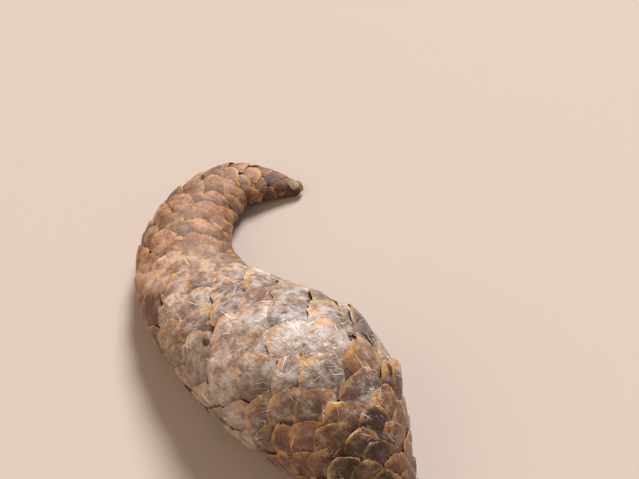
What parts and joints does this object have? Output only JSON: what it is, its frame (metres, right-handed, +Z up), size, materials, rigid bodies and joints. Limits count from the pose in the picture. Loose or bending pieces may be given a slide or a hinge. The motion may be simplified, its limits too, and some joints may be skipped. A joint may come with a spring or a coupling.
{
  "type": "pangolin",
  "caption": "Scaled ground pangolin resting on its belly with a curved body, low conical head and broad tail curled round beside it, as a still display model.",
  "frame": {"origin": "on the floor, on the flat of the belly near the middle of the trunk", "axes": "+Z up, -Y towards the nose, +X towards the animal's left at the shoulders"},
  "size_m": [0.3451, 0.6226, 0.1604],
  "materials": {
    "scales": "worn horn scales, greyish brown with paler rubbed edges and dust, half dull",
    "hide": "dull wrinkled bare skin",
    "claws": "smooth worn horn",
    "eye": "wet dark eye"
  },
  "bodies": {
    "root": {"head": "scales", "neck": "scales", "torso": "scales", "tail_root": "scales", "tail_middle": "scales", "tail_end": "scales", "foreleg_left": "hide", "foreleg_right": "hide", "hindleg_left": "hide", "hindleg_right": "hide", "eye_left": "eye", "eye_right": "eye"}
  },
  "joints": []
}
